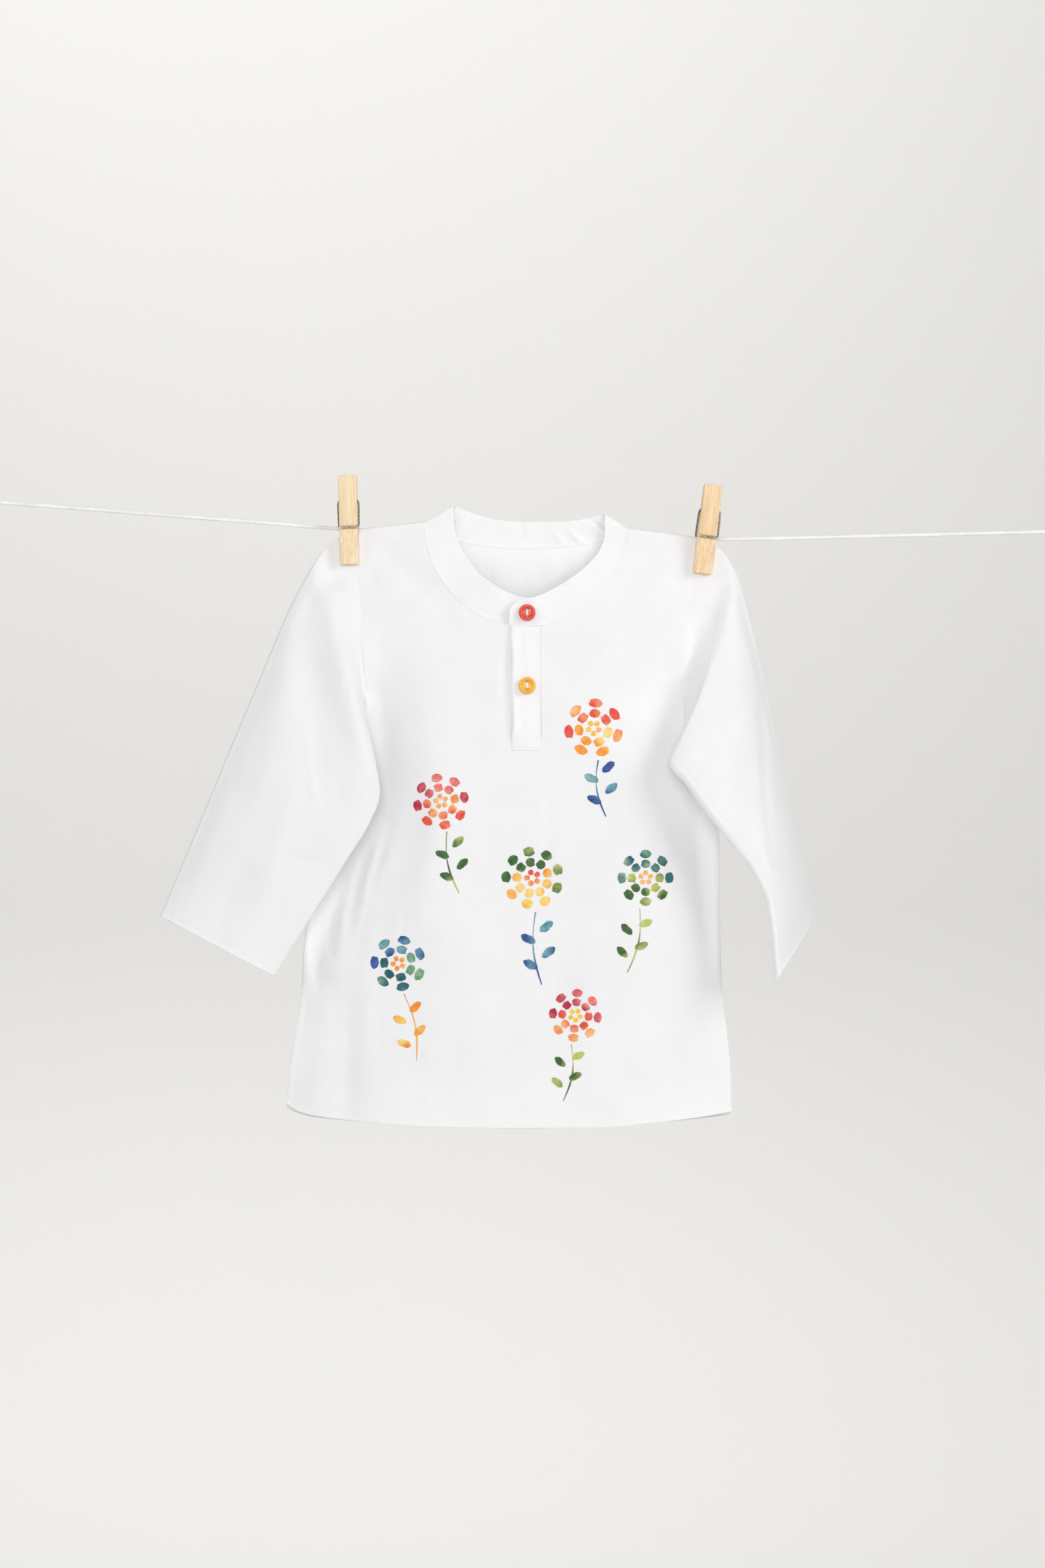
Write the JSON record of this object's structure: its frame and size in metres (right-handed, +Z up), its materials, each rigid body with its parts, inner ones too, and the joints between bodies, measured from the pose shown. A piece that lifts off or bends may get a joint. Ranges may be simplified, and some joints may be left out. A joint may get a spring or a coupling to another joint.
{
  "type": "kurta tunic on clothes line with pegs",
  "caption": "Small child's white cotton kurta tunic with stand collar, buttoned half placket and side slits, hung flat by its shoulders from a clothes line with wooden spring pegs.",
  "frame": {"origin": "on the clothes line's axis, midway between the pegs, where the tunic hangs in front of it", "axes": "+Z up, -Y out of the tunic's front, +X along the line to the wearer's left"},
  "size_m": [0.7946, 0.0696, 0.4312],
  "materials": {
    "cotton": "matt white plain-weave cotton",
    "button_red": "satin coral red",
    "button_yellow": "satin golden yellow",
    "peg_wood": "bare pale bamboo",
    "peg_wood_dark": "bare bamboo, browned",
    "steel": "dull spring wire",
    "cord": "twisted white cotton cord"
  },
  "bodies": {
    "root": {"front": "cotton", "back": "cotton", "sleeve_right": "cotton", "sleeve_left": "cotton", "collar": "cotton", "placket_over": "cotton", "placket_under": "cotton", "button_top": "button_red", "button_lower": "button_yellow", "peg_left_front_leg": "peg_wood", "peg_left_rear_leg": "peg_wood", "peg_left_spring": "steel", "peg_right_front_leg": "peg_wood_dark", "peg_right_rear_leg": "peg_wood_dark", "peg_right_spring": "steel", "line": "cord", "line_loop_left": "cord", "line_loop_right": "cord", "screw_eye_left": "steel", "screw_eye_right": "steel"}
  },
  "joints": []
}
